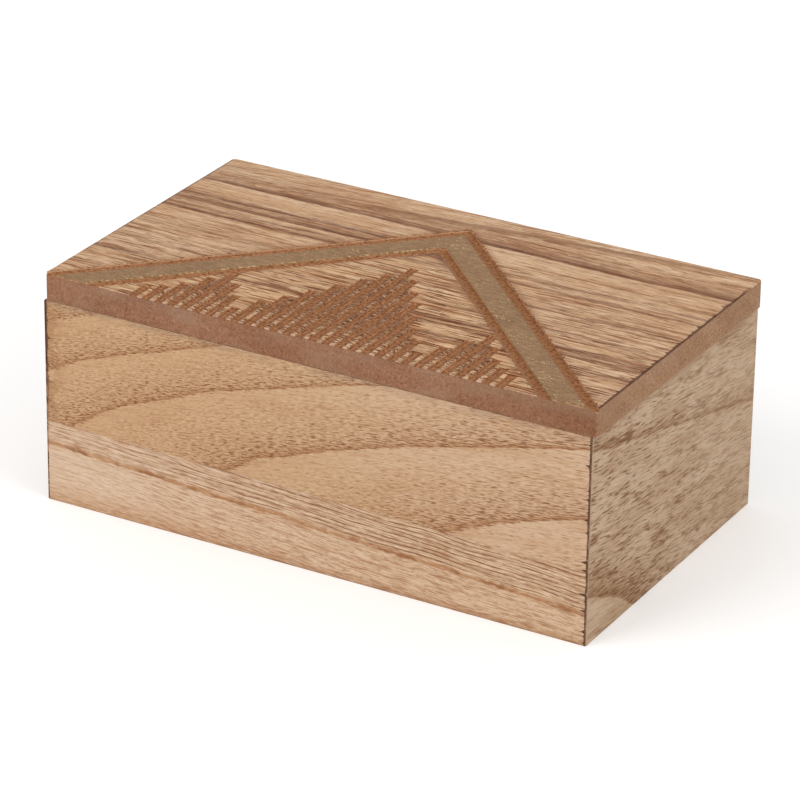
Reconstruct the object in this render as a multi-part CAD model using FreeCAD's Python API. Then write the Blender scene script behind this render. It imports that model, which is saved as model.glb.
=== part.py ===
import FreeCAD, Part
import math
import os

# Hinged wooden box with an inlaid lid: veneered fibreboard walls and lid, a gold chevron
# let into the lid between two routed grooves, a stepped hatch of grooves, and two hinges.
# Millimetres. The origin is the centre of the box's underside, with +X to the right along
# the front, +Y to the back and +Z up. The lid is shut.

os.makedirs("parts", exist_ok=True)

Vector = FreeCAD.Vector

# Box, outside sizes with its veneer on
body_length = 240.0
body_width = 140.0
body_height = 86.0

# Boards and veneers
wall_core = 8.4
wall_veneer = 0.7
bottom_thickness = 4.0
rabbet_depth = 4.4
bottom_clearance = 0.15

# The front's veneer is two leaves, joined edge to edge on a slightly slanting line
front_seam_left = 34.4
front_seam_right = 30.7

# Lid, flush with the box at the back and sitting a little to the right of it
lid_core = 10.8
lid_veneer = 0.6
lid_left_inset = 0.4
lid_right_overhang = 1.2
lid_front_inset = 0.4
lid_corner_radius = 1.6
lid_arris_radius = 0.2

# Routed ornament: two wide border grooves and a hatch of narrower ones
border_width = 4.2
hatch_width = 3.5
groove_depth = 1.0
border_corner_offset = 1.5
border_apex_from_back = 18.6
border_spacing = 14.5
hatch_pitch = 5.7
hatch_shortest = 10.5
hatch_step = 9.7
# Steps by which each groove outlasts the shortest one, from the middle groove outwards
hatch_steps = (7, 6, 5, 4, 3, 2, 1, 0, 1, 2, 3, 2, 1, 0.4, 0)

# Hinges, screwed to the outside of the back
hinge_length = 18.0
hinge_from_end = 45.0
leaf_thickness = 0.6
leaf_height = 8.0
leaf_corner_radius = 1.0
pin_radius = 0.70
pin_clearance = 0.05
knuckle_count = 5
knuckle_wall = 0.6
knuckle_side_gap = 0.2
knuckle_body_gap = 0.15
pin_head_radius = 1.1
pin_head_height = 0.4

# Screws of the hinges
screw_spacing = 11.0
screw_from_axis = 4.9
screw_shank_radius = 0.6
screw_length = 7.0
screw_tip_length = 1.6
screw_clearance = 0.05
screw_head_radius = 1.3
screw_head_height = 0.5
screw_slot_width = 0.4
screw_slot_depth = 0.25

# Sizes that follow from those above
body_half_length = body_length / 2
body_half_width = body_width / 2
core_half_length = body_half_length - wall_veneer
core_half_width = body_half_width - wall_veneer

lid_back = body_half_width
lid_front = lid_front_inset - body_half_width
lid_left = lid_left_inset - body_half_length
lid_right = lid_right_overhang + body_half_length
lid_middle = (lid_left + lid_right) / 2
lid_board_top = body_height + lid_core
lid_top = lid_board_top + lid_veneer
groove_floor = lid_top - groove_depth

pin_bore_radius = pin_radius + pin_clearance
knuckle_radius = pin_bore_radius + knuckle_wall
hinge_y = body_half_width + knuckle_radius + knuckle_body_gap
hinge_z = body_height
hinge_offset = body_half_length - hinge_from_end - hinge_length / 2
leaf_face = body_half_width + leaf_thickness


def box_between(low, high):
    """Block from its lowest corner to its highest."""
    return Part.makeBox(high[0] - low[0], high[1] - low[1], high[2] - low[2], Vector(*low))


def outline_face(points):
    """Flat face inside a closed outline of points."""
    corners = [Vector(*point) for point in points]
    return Part.Face(Part.makePolygon(corners + corners[:1]))


def plan_prism(points, low, high):
    """Upright prism on a plan outline, between two heights."""
    return outline_face([(x, y, low) for x, y in points]).extrude(Vector(0, 0, high - low))


def write(name, shape):
    shape.exportStep("parts/" + name + ".step")


# Walls: four boards mitred at the corners, with a rabbet below for the bottom
def wall_stretch(half_length, outer, thickness, low, high):
    """Straight mitred stretch along X whose outer face is at -outer in Y."""
    inner_half_length = half_length - thickness
    plan = [
        (-half_length, -outer),
        (half_length, -outer),
        (inner_half_length, thickness - outer),
        (-inner_half_length, thickness - outer),
    ]
    return plan_prism(plan, low, high)


def mitred_wall(half_length, outer, turn):
    """Rabbeted wall as seen from the front, turned about Z to its own side."""
    lip = wall_stretch(half_length, outer, wall_core - rabbet_depth, 0, bottom_thickness)
    main = wall_stretch(half_length, outer, wall_core, bottom_thickness, body_height)
    wall = lip.fuse(main).removeSplitter()
    wall.rotate(Vector(0, 0, 0), Vector(0, 0, 1), turn)
    return wall


front_wall = mitred_wall(core_half_length, core_half_width, 0)
right_wall = mitred_wall(core_half_width, core_half_length, 90)
back_wall = mitred_wall(core_half_length, core_half_width, 180)
left_wall = mitred_wall(core_half_width, core_half_length, 270)

# Bottom panel, seated in the rabbet and flush with the walls' lower edges
bottom_inset = wall_core - rabbet_depth + bottom_clearance
bottom_half_length = core_half_length - bottom_inset
bottom_half_width = core_half_width - bottom_inset
bottom_panel = box_between(
    (-bottom_half_length, -bottom_half_width, 0),
    (bottom_half_length, bottom_half_width, bottom_thickness),
)

# Wall veneers: the side leaves cover the edges of the front and back ones
left_veneer = box_between(
    (-body_half_length, -body_half_width, 0),
    (-core_half_length, body_half_width, body_height),
)
right_veneer = box_between(
    (core_half_length, -body_half_width, 0),
    (body_half_length, body_half_width, body_height),
)
back_veneer = box_between(
    (-core_half_length, core_half_width, 0),
    (core_half_length, body_half_width, body_height),
)


def front_leaf(corner_heights):
    """Veneer leaf on the front, from its corner heights: low left, low right, high right, high left."""
    ends = (-core_half_length, core_half_length, core_half_length, -core_half_length)
    outline = [(x, -body_half_width, z) for x, z in zip(ends, corner_heights)]
    return outline_face(outline).extrude(Vector(0, wall_veneer, 0))


front_veneer_lower = front_leaf((0, 0, front_seam_right, front_seam_left))
front_veneer_upper = front_leaf((front_seam_left, front_seam_right, body_height, body_height))


# Lid ornament in plan: chevrons about the lid's middle line, open to the front
border_half_base = lid_right - lid_middle - border_corner_offset
border_rise = lid_back - lid_front - border_apex_from_back
leg_length = math.hypot(border_half_base, border_rise)
# Distance along X and along Y for one unit square to a chevron's leg
along_x = leg_length / border_rise
along_y = leg_length / border_half_base
# The prisms start this far in front of the lid, so that they cut through its edge
front_run_out = 2 * border_width


def chevron_points(inset):
    """Chevron's left foot, apex and right foot, moved inwards from the outer groove's middle line."""
    half_base = border_half_base - inset * along_x
    apex = lid_front + border_rise - inset * along_y
    foot_half = half_base + front_run_out * border_half_base / border_rise
    foot = lid_front - front_run_out
    return [
        (lid_middle - foot_half, foot),
        (lid_middle, apex),
        (lid_middle + foot_half, foot),
    ]


def chevron_area(inset, low, high):
    """Prism of everything inside a chevron."""
    return plan_prism(chevron_points(inset), low, high)


def rounded_area(inset, low, high):
    """The same, with its apex rounded as the cutter leaves the outer side of a groove."""
    area = chevron_area(inset, low, high)
    uprights = [edge for edge in area.Edges if edge.BoundBox.ZLength > (high - low) / 2]
    apex = max(uprights, key=lambda edge: edge.CenterOfMass.y)
    return area.makeFillet(border_width / 2, [apex])


def border_groove(inset, low, high):
    """Groove whose middle line is the chevron at an inset."""
    outer = rounded_area(inset - border_width / 2, low, high)
    return outer.cut(chevron_area(inset + border_width / 2, low, high))


def hatch_groove(x, length, low, high):
    """Slot from the lid's front edge back to a square end."""
    half_width = hatch_width / 2
    return box_between(
        (x - half_width, lid_front - half_width, low),
        (x + half_width, lid_front + length, high),
    )


def hatch(low, high):
    """All hatch grooves, kept inside the inner border groove."""
    grooves = []
    for index, steps in enumerate(hatch_steps):
        length = hatch_shortest + hatch_step * steps
        sides = (-1, 1) if index else (1,)
        for side in sides:
            x = lid_middle + side * index * hatch_pitch
            grooves.append(hatch_groove(x, length, low, high))
    inner_area = chevron_area(border_spacing, low, high)
    return Part.makeCompound(grooves).common(inner_area)


outer_groove = border_groove(0, groove_floor, lid_top)
inner_groove = border_groove(border_spacing, groove_floor, lid_top)
hatch_grooves = hatch(groove_floor, lid_top)
routing = Part.makeCompound([outer_groove, inner_groove] + hatch_grooves.Solids)


def lid_slab(low, high):
    """Full plan of the lid, with its rounded corners, between two heights."""
    slab = box_between((lid_left, lid_front, low), (lid_right, lid_back, high))
    uprights = [edge for edge in slab.Edges if abs(edge.tangentAt(edge.FirstParameter).z) > 0.5]
    return slab.makeFillet(lid_corner_radius, uprights)


# Lid board, with its lower arris eased, routed from above
lid_blank = lid_slab(body_height, lid_board_top)
lower_edges = [edge for edge in lid_blank.Edges if edge.BoundBox.ZMax < body_height + lid_core / 2]
lid_board = lid_blank.makeFillet(lid_arris_radius, lower_edges).cut(routing)

# Lid veneer outside and inside the chevron, and the gold chevron between
lid_sheet = lid_slab(lid_board_top, lid_top)
half_border = border_width / 2
outer_area = rounded_area(-half_border, lid_board_top, lid_top)
gold_area = chevron_area(half_border, lid_board_top, lid_top)
gold_opening = rounded_area(border_spacing - half_border, lid_board_top, lid_top)
inner_area = chevron_area(border_spacing + half_border, lid_board_top, lid_top)
lid_veneer_outer = lid_sheet.cut(outer_area)
lid_veneer_inner = lid_sheet.common(inner_area).cut(hatch_grooves)
gold_chevron = lid_sheet.common(gold_area).cut(gold_opening)


# Hinge, worked out at X = 0 and then moved to its place
knuckle_length = (hinge_length - (knuckle_count - 1) * knuckle_side_gap) / knuckle_count
knuckle_pitch = knuckle_length + knuckle_side_gap
body_knuckles = range(0, knuckle_count, 2)
lid_knuckles = range(1, knuckle_count, 2)


def along_pin(radius, start, length):
    """Cylinder on the hinge's axis."""
    return Part.makeCylinder(radius, length, Vector(start, hinge_y, hinge_z), Vector(1, 0, 0))


def knuckle_start(index):
    return index * knuckle_pitch - hinge_length / 2


def screw_places(side):
    """Where a leaf's screws go: X and Z of each."""
    z = hinge_z + side * screw_from_axis
    return [(x, z) for x in (-screw_spacing / 2, screw_spacing / 2)]


def screw_holes(side, radius, depth):
    """Holes for a leaf's screws, from its outer face forwards."""
    start = leaf_face
    holes = []
    for x, z in screw_places(side):
        holes.append(Part.makeCylinder(radius, depth, Vector(x, start, z), Vector(0, -1, 0)))
    return Part.makeCompound(holes)


def hinge_leaf(side, own_knuckles, other_knuckles):
    """Leaf with its rolled knuckles; side is 1 for the lid's leaf and -1 for the body's."""
    half_length = hinge_length / 2
    near, far = sorted((hinge_z, hinge_z + side * leaf_height))
    plate = box_between((-half_length, body_half_width, near), (half_length, leaf_face, far))
    free_corners = [
        edge
        for edge in plate.Edges
        if edge.BoundBox.YLength > leaf_thickness / 2
        and abs(edge.CenterOfMass.z - hinge_z) > leaf_height / 2
    ]
    leaf = plate.makeFillet(leaf_corner_radius, free_corners)
    notch_reach = knuckle_radius + knuckle_side_gap
    for index in other_knuckles:
        start = knuckle_start(index) - knuckle_side_gap
        end = knuckle_start(index) + knuckle_length + knuckle_side_gap
        notch = box_between(
            (start, body_half_width, hinge_z - notch_reach),
            (end, leaf_face, hinge_z + notch_reach),
        )
        leaf = leaf.cut(notch)
    for index in own_knuckles:
        leaf = leaf.fuse(along_pin(knuckle_radius, knuckle_start(index), knuckle_length))
    bore = along_pin(pin_bore_radius, -hinge_length / 2, hinge_length)
    holes = screw_holes(side, screw_shank_radius + screw_clearance, leaf_thickness)
    return leaf.removeSplitter().cut(bore).cut(holes)


def hinge_pin():
    """Pin with a head at each end, which keeps it in the knuckles."""
    barrel_end = hinge_length / 2 + pin_clearance
    shaft = along_pin(pin_radius, -barrel_end, 2 * barrel_end)
    left_head = along_pin(pin_head_radius, -barrel_end - pin_head_height, pin_head_height)
    right_head = along_pin(pin_head_radius, barrel_end, pin_head_height)
    return shaft.fuse([left_head, right_head]).removeSplitter()


def hinge_screw():
    """Slotted screw along Y: its head's seat is at Y = 0 and its tip points forwards."""
    dome_radius = (screw_head_radius ** 2 + screw_head_height ** 2) / (2 * screw_head_height)
    dome = Part.makeSphere(dome_radius, Vector(0, screw_head_height - dome_radius, 0))
    head_blank = Part.makeCylinder(
        screw_head_radius, screw_head_height, Vector(0, 0, 0), Vector(0, 1, 0)
    )
    slot = box_between(
        (-screw_head_radius, screw_head_height - screw_slot_depth, -screw_slot_width / 2),
        (screw_head_radius, screw_head_height, screw_slot_width / 2),
    )
    head = head_blank.common(dome).cut(slot)
    shank_length = screw_length - screw_tip_length
    forwards = Vector(0, -1, 0)
    shank = Part.makeCylinder(screw_shank_radius, shank_length, Vector(0, 0, 0), forwards)
    tip = Part.makeCone(
        screw_shank_radius, 0, screw_tip_length, Vector(0, -shank_length, 0), forwards
    )
    return head.fuse([shank, tip]).removeSplitter()


def leaf_screws(side):
    """Both screws of one leaf."""
    screw = hinge_screw()
    screws = [screw.translated(Vector(x, leaf_face, z)) for x, z in screw_places(side)]
    return Part.makeCompound(screws)


hinge_places = {
    "left_hinge": Vector(-hinge_offset, 0, 0),
    "right_hinge": Vector(hinge_offset, 0, 0),
}
hinge_pieces = {
    "body_leaf": hinge_leaf(-1, body_knuckles, lid_knuckles),
    "lid_leaf": hinge_leaf(1, lid_knuckles, body_knuckles),
    "pin": hinge_pin(),
    "body_screws": leaf_screws(-1),
    "lid_screws": leaf_screws(1),
}

# Each screw has its pilot hole in the wood behind its leaf
pilot_radius = screw_shank_radius + screw_clearance
pilot_depth = leaf_thickness + screw_length
for place in hinge_places.values():
    body_pilots = screw_holes(-1, pilot_radius, pilot_depth).translated(place)
    lid_pilots = screw_holes(1, pilot_radius, pilot_depth).translated(place)
    back_wall = back_wall.cut(body_pilots)
    back_veneer = back_veneer.cut(body_pilots)
    lid_board = lid_board.cut(lid_pilots)

write("front_wall", front_wall)
write("back_wall", back_wall)
write("left_wall", left_wall)
write("right_wall", right_wall)
write("bottom_panel", bottom_panel)
write("front_veneer_upper", front_veneer_upper)
write("front_veneer_lower", front_veneer_lower)
write("back_veneer", back_veneer)
write("left_veneer", left_veneer)
write("right_veneer", right_veneer)
write("lid_board", lid_board)
write("lid_veneer_outer", lid_veneer_outer)
write("lid_veneer_inner", lid_veneer_inner)
write("gold_chevron", gold_chevron)
for hinge, place in hinge_places.items():
    for piece, shape in hinge_pieces.items():
        write(hinge + "_" + piece, shape.translated(place))
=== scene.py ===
import math

import bmesh
import bpy
from mathutils import Matrix, Vector, geometry, noise


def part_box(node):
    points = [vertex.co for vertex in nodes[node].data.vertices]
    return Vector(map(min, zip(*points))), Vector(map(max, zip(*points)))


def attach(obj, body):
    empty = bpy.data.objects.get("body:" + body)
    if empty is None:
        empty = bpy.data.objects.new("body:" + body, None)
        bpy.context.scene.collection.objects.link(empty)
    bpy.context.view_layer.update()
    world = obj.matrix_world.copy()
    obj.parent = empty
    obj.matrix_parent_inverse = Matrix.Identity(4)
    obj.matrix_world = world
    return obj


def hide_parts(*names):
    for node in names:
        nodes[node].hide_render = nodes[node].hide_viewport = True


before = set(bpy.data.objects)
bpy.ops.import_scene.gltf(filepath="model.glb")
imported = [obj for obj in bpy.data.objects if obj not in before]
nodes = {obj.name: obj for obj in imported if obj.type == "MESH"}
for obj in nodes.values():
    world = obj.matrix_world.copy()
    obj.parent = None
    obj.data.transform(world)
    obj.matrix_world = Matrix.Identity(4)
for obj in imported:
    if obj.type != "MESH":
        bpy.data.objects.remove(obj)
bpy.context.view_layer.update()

# The carcass: four fibreboard walls, mitred and glued at the corners, and a thin fibreboard bottom glued
# into a rabbet round their lower edge. The board is left bare, so its pressed wood fibres show as fine
# speckle with a few dark bark specks.


def stain(red, green, blue):
    """A colour as the eye reads it, 0 to 255, as the shader wants it."""
    steps = [part / 255 for part in (red, green, blue)]
    mixed = [s / 12.92 if s <= 0.04045 else ((s + 0.055) / 1.055) ** 2.4 for s in steps]
    return (*mixed, 1.0)


class Field:
    """A value or colour that varies over a surface. Sums and products of fields become shader nodes."""

    def __init__(self, tree, socket):
        self.tree = tree
        self.socket = socket

    def beside(self, output):
        """Another output of the node that this field comes from."""
        return Field(self.tree, self.socket.node.outputs[output])

    def into(self, socket):
        """Leads the field into a node's socket."""
        self.tree.links.new(self.socket, socket)

    def step(self, operation, other=0.0):
        """One step of arithmetic."""
        return put(self.tree, "Math", {0: self, 1: other}, operation=operation)

    def __add__(self, other):
        return self.step("ADD", other)

    def __sub__(self, other):
        return self.step("SUBTRACT", other)

    def __rsub__(self, other):
        return put(self.tree, "Math", {0: other, 1: self}, operation="SUBTRACT")

    def __mul__(self, other):
        return self.step("MULTIPLY", other)

    def __truediv__(self, other):
        return self.step("DIVIDE", other)

    def __pow__(self, other):
        return self.step("POWER", other)

    def __neg__(self):
        return self.step("MULTIPLY", -1.0)

    def __abs__(self):
        return self.step("ABSOLUTE")


def put(tree, kind, inputs=None, output=0, **settings):
    """Adds one shader node, with its settings and what goes into its sockets, and gives one output of it."""
    made = tree.nodes.new("ShaderNode" + kind)
    for name, value in settings.items():
        setattr(made, name, value)
    for socket, value in (inputs or {}).items():
        if isinstance(value, Field):
            value.into(made.inputs[socket])
        else:
            made.inputs[socket].default_value = value
    return Field(tree, made.outputs[output])


def fade(value, start, end):
    """0 at start and 1 at end, with a soft change between."""
    sockets = {"Value": value, "From Min": start, "From Max": end}
    return put(value.tree, "MapRange", sockets, interpolation_type="SMOOTHSTEP")


def lay_over(amount, under, over, way="MIX"):
    """Lays one colour over another by a mask."""
    sockets = {0: amount, 6: under, 7: over}
    return put(amount.tree, "Mix", sockets, 2, data_type="RGBA", blend_type=way)


def mottle(along, across, length, width, seed, detail=2.0, roughness=0.5):
    """Cloudy noise whose spots are about length by width millimetres."""
    spot = put(along.tree, "CombineXYZ", {0: along / length, 1: across / width, 2: seed})
    sockets = {"Vector": spot, "Scale": 1.0, "Detail": detail, "Roughness": roughness}
    return put(along.tree, "TexNoise", sockets)


def split(vector):
    """The x, y and z of a vector."""
    x = put(vector.tree, "SeparateXYZ", {0: vector})
    return x, x.beside(1), x.beside(2)


def place_on_piece(tree):
    """x, y and z of the spot on the piece, in millimetres."""
    here = put(tree, "TexCoord", output="Object")
    return split(put(tree, "VectorMath", {0: here, "Scale": 1000.0}, operation="SCALE"))


def facing_of(tree):
    """Which way the spot on the piece faces: the x, y and z of its normal."""
    return split(put(tree, "TexCoord", output="Normal"))


def new_finish(name):
    """An empty material, with its node tree and its shader."""
    finish = bpy.data.materials.new(name)
    finish.use_nodes = True
    shader = finish.node_tree.nodes["Principled BSDF"]
    shader.inputs["Specular IOR Level"].default_value = 0.12
    return finish, finish.node_tree, shader


def relief(shader, height, depth):
    """Raises and sinks the surface a little; depth is in metres."""
    sockets = {"Height": height, "Distance": depth, "Strength": 1.0}
    put(height.tree, "Bump", sockets).into(shader.inputs["Normal"])


def effect(name, takes, gives):
    """A node group for an effect that several materials share: its tree, what it takes and what it gives."""
    group = bpy.data.node_groups.new(name, "ShaderNodeTree")
    for socket in takes:
        group.interface.new_socket(socket, in_out="INPUT", socket_type="NodeSocketFloat")
    for socket in gives:
        group.interface.new_socket(socket, in_out="OUTPUT", socket_type="NodeSocketFloat")
    inside = group.nodes.new("NodeGroupInput")
    outside = group.nodes.new("NodeGroupOutput")
    return group, {socket: Field(group, inside.outputs[socket]) for socket in takes}, outside.inputs


# pressed fibres: short pale and brown hairs in every direction, and a few dark specks
pressed_fibres, takes, gives = effect("pressed_fibres", ["X", "Y", "Z", "Size"], ["Fibres", "Specks"])
spot = put(pressed_fibres, "CombineXYZ", {0: takes["X"], 1: takes["Y"], 2: takes["Z"]})
spot = put(pressed_fibres, "VectorMath", {0: spot, 1: takes["Size"]}, operation="DIVIDE")
sockets = {"Vector": spot, "Scale": 1.0, "Detail": 5.0, "Roughness": 0.75, "Distortion": 1.2}
put(pressed_fibres, "TexNoise", sockets).into(gives["Fibres"])
distance = put(pressed_fibres, "TexVoronoi", {"Vector": spot, "Scale": 0.22})
kept = fade(put(pressed_fibres, "SeparateColor", {0: distance.beside("Color")}), 0.94, 0.98)
specks = fade(distance, 0.11, 0.04) * kept
specks.into(gives["Specks"])

fibre_size = 1.0
board_brown = stain(160, 123, 93)
board_pale = stain(188, 152, 119)
board_dark = stain(124, 88, 63)
board_cloud = stain(238, 231, 226)
painted_shade_off_ends_tint = stain(246, 229, 230)
board_dust = stain(164, 132, 108)
speck_brown = stain(84, 58, 46)


def bare_board(name):
    """Fibreboard as it is sawn: the finish, its shader, the spot on the piece and the colour so far."""
    finish, tree, shader = new_finish(name)
    x, y, z = place_on_piece(tree)
    fine = put(tree, "Group", {"X": x, "Y": y, "Z": z, "Size": fibre_size}, node_tree=pressed_fibres)
    colour = lay_over(fade(fine, 0.50, 0.66), board_brown, board_pale)
    colour = lay_over(fade(fine, 0.50, 0.34), colour, board_dark)
    cloud = mottle(x, y + z, 34.0, 21.0, 4.0, 3.0)
    colour = lay_over(fade(cloud, 0.35, 0.7), colour, board_cloud, "MULTIPLY")
    # painted light: the faces that do not face the ends are painted redder and a little darker, so the ends
    # read as lit by a brighter, cooler light
    painted_shade_off_ends = fade(abs(facing_of(tree)[0]), 0.85, 0.4)
    colour = lay_over(painted_shade_off_ends, colour, painted_shade_off_ends_tint, "MULTIPLY")
    dust = fade(mottle(x + y, z, 26.0, 9.0, 7.0, 2.0), 0.48, 0.70)
    colour = lay_over(dust * 0.35, colour, board_dust)
    colour = lay_over(fine.beside("Specks") * 0.85, colour, speck_brown)
    rough = put(tree, "MapRange", {"Value": fine, "To Min": 0.95, "To Max": 0.72})
    colour.into(shader.inputs["Base Color"])
    rough.into(shader.inputs["Roughness"])
    relief(shader, fine, 0.00012)
    return finish, shader, (x, y, z), colour


wall_board = bare_board("wall_fibreboard")[0]
for node in ("front_wall", "back_wall", "left_wall", "right_wall", "bottom_panel"):
    nodes[node].material_slots[0].material = wall_board

# The front veneer: two leaves of pale open-pored wood, glued to the front wall edge to edge. The upper leaf
# is cut through the tree's rings, so they sweep across it, each ring ending in a band of dark open pores;
# the ends are scorched where the saw ran hot.


# open pores: dark dashes along the grain, finer flecks between them, and the pale wood that gleams beside
# them; there are more of them where the density is high
open_pores, takes, gives = effect(
    "open_pores", ["Along", "Across", "Density", "Length", "Width", "Seed"], ["Dashes", "Flecks", "Gleam"]
)
start = 0.675 - takes["Density"] * 0.30
long_pores = mottle(takes["Along"], takes["Across"], takes["Length"], takes["Width"], takes["Seed"], 1.0)
length = takes["Length"] * 0.5
width = takes["Width"] * 0.7
short_pores = mottle(takes["Along"], takes["Across"], length, width, takes["Seed"] + 17.3, 1.0)
for shape, lift, output in ((long_pores, 0.0, "Dashes"), (short_pores, 0.02, "Flecks")):
    low = start + lift
    fade(shape, low, low + 0.15).into(gives[output])
fade(long_pores, 0.46, 0.30).into(gives["Gleam"])


def pores(along, across, density, length, width, seed):
    """The dashes, flecks and gleam of open pores of about length by width."""
    sockets = {"Along": along, "Across": across, "Density": density}
    sockets.update({"Length": length, "Width": width, "Seed": seed})
    dashes = put(along.tree, "Group", sockets, node_tree=open_pores)
    return dashes, dashes.beside("Flecks"), dashes.beside("Gleam")


# fibre streaks: the fine light and dark lines of the long wood fibres
fibre_streaks, takes, gives = effect(
    "fibre_streaks", ["Along", "Across", "Length", "Width", "Seed"], ["Streaks"]
)
streaks = mottle(takes["Along"], takes["Across"], takes["Length"], takes["Width"], takes["Seed"], 4.0, 0.62)
streaks.into(gives["Streaks"])


def fibre_lines(along, across, length, width, seed):
    """The streaks of long wood fibres of about length by width."""
    sockets = {"Along": along, "Across": across, "Length": length, "Width": width, "Seed": seed}
    return put(along.tree, "Group", sockets, node_tree=fibre_streaks)


def larger(first, second):
    """The larger of two values at each spot."""
    return first.step("MAXIMUM", second)


# scorched edge: a dark burnt line at a cut edge, with short spurs running into the pores
scorched_edge, takes, gives = effect(
    "scorched_edge", ["Distance", "Run", "Width", "Spur", "Seed"], ["Scorch"]
)
waver = mottle(takes["Run"], takes["Seed"], 6.0, 1.0, takes["Seed"])
spurs = mottle(takes["Run"], takes["Seed"], 1.7, 1.0, takes["Seed"], 2.0)
crowd = fade(waver, 0.40, 0.62) * 1.35 + 0.15
spurs = fade(spurs, 0.50, 0.70) * takes["Spur"] * crowd
reach = larger((waver * 1.6 - 0.15) * takes["Width"] + spurs, 0.02)
fade(takes["Distance"], reach, reach * 0.45).into(gives["Scorch"])


def scorching(distance, run, width, spur, seed):
    """The scorch at a distance from a cut edge: how wide the burnt line is and how long its spurs are."""
    sockets = {"Distance": distance, "Run": run, "Width": width, "Spur": spur, "Seed": seed}
    return put(run.tree, "Group", sockets, node_tree=scorched_edge)


def swing(waves, reach):
    """Noise of 0 to 1 as a swing to both sides, reach millimetres in all."""
    return waves * reach - 0.5 * reach


def ring_shade(ring, low, high, lines):
    """How dark and open the wood is at a ring coordinate: it rises to each ring line, then drops at once.
    A line is (position, length of the rise, length of the drop, strength)."""
    level = put(ring.tree, "MapRange", {"Value": ring, "From Min": low, "From Max": high})
    shade = put(ring.tree, "ValToRGB", {0: level})
    stops = shade.socket.node.color_ramp.elements
    while len(stops) > 1:
        stops.remove(stops[-1])
    stops[0].position = 0.0
    stops[0].color = (0.0, 0.0, 0.0, 1.0)
    for position, rise, drop, strength in lines:
        for spot, value in ((position - rise, 0.0), (position, strength), (position + drop, 0.0)):
            stop = stops.new(min(max((spot - low) / (high - low), 0.0), 1.0))
            stop.color = (value, value, value, 1.0)
    return shade


def leaf_outlines(node, facing):
    """The outlines of a leaf's outer face, read from its solid, anticlockwise as it faces."""
    solid = bmesh.new()
    solid.from_mesh(nodes[node].data)
    bmesh.ops.remove_doubles(solid, verts=solid.verts, dist=1e-6)
    level = max(corner.co.dot(facing) for corner in solid.verts)
    outer = [
        face
        for face in solid.faces
        if face.normal.dot(facing) > 0.99 and face.calc_center_median().dot(facing) > level - 1e-5
    ]
    inside = set(outer)
    following = {}
    for face in outer:
        for loop in face.loops:
            if not any(other in inside for other in loop.edge.link_faces if other is not face):
                following[loop.vert] = loop.link_loop_next.vert
    outlines = []
    while following:
        start, at = following.popitem()
        outline = [start.co.copy()]
        while at is not start:
            outline.append(at.co.copy())
            at = following.pop(at)
        turned = sum((a.cross(b) for a, b in zip(outline, outline[1:] + outline[:1])), Vector())
        if turned.dot(facing) > 0:
            outlines.append(outline)
    solid.free()
    return outlines


def inset(outline, facing, distances):
    """The outline drawn in by a distance at each point."""
    count = len(outline)
    drawn = []
    for i, (point, distance) in enumerate(zip(outline, distances)):
        before = facing.cross((point - outline[i - 1]).normalized())
        after = facing.cross((outline[(i + 1) % count] - point).normalized())
        inward = (before + after) / max(1.0 + before.dot(after), 0.35)
        drawn.append(point + inward * distance)
    return drawn


def even_outline(outline, spacing):
    """The outline with its points about the spacing apart; its corners stay."""
    kept = []
    for i, point in enumerate(outline):
        onward = outline[(i + 1) % len(outline)]
        turn = (point - outline[i - 1]).angle(onward - point, 0.0)
        near = kept and (point - kept[-1]).length < 0.5 * spacing
        if turn > math.radians(30) or not near:
            kept.append(point)
    dotted = []
    for i, point in enumerate(kept):
        onward = kept[(i + 1) % len(kept)]
        parts = max(1, round((onward - point).length / spacing))
        dotted += [point.lerp(onward, step / parts) for step in range(parts)]
    return dotted


def cover(outline, across, along, spacing):
    """Even triangles over an outline, with a grid of points inside; across and along span its face."""
    flat = [Vector((point.dot(across), point.dot(along))) for point in outline]
    border = list(range(len(flat)))
    low = [min(point[i] for point in flat) for i in (0, 1)]
    high = [max(point[i] for point in flat) for i in (0, 1)]
    steps = [int((high[i] - low[i]) / spacing) for i in (0, 1)]
    for i in range(1, steps[0]):
        for j in range(1, steps[1]):
            spot = Vector((low[0] + i * spacing, low[1] + (j + 0.5 * (i % 2)) * spacing))
            if min((spot - flat[k]).length_squared for k in border) > (0.4 * spacing) ** 2:
                flat.append(spot)
    points, _, faces, came_from, _, _ = geometry.delaunay_2d_cdt(flat, [], [border], 1, 1e-9)
    return points, faces, [first[0] for first in came_from]


sanded_share = 0.25
sanded_margin = 0.0006
tear_fineness = 1400.0
tear_lift = 0.35
inner_spacing = 6.0


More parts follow.
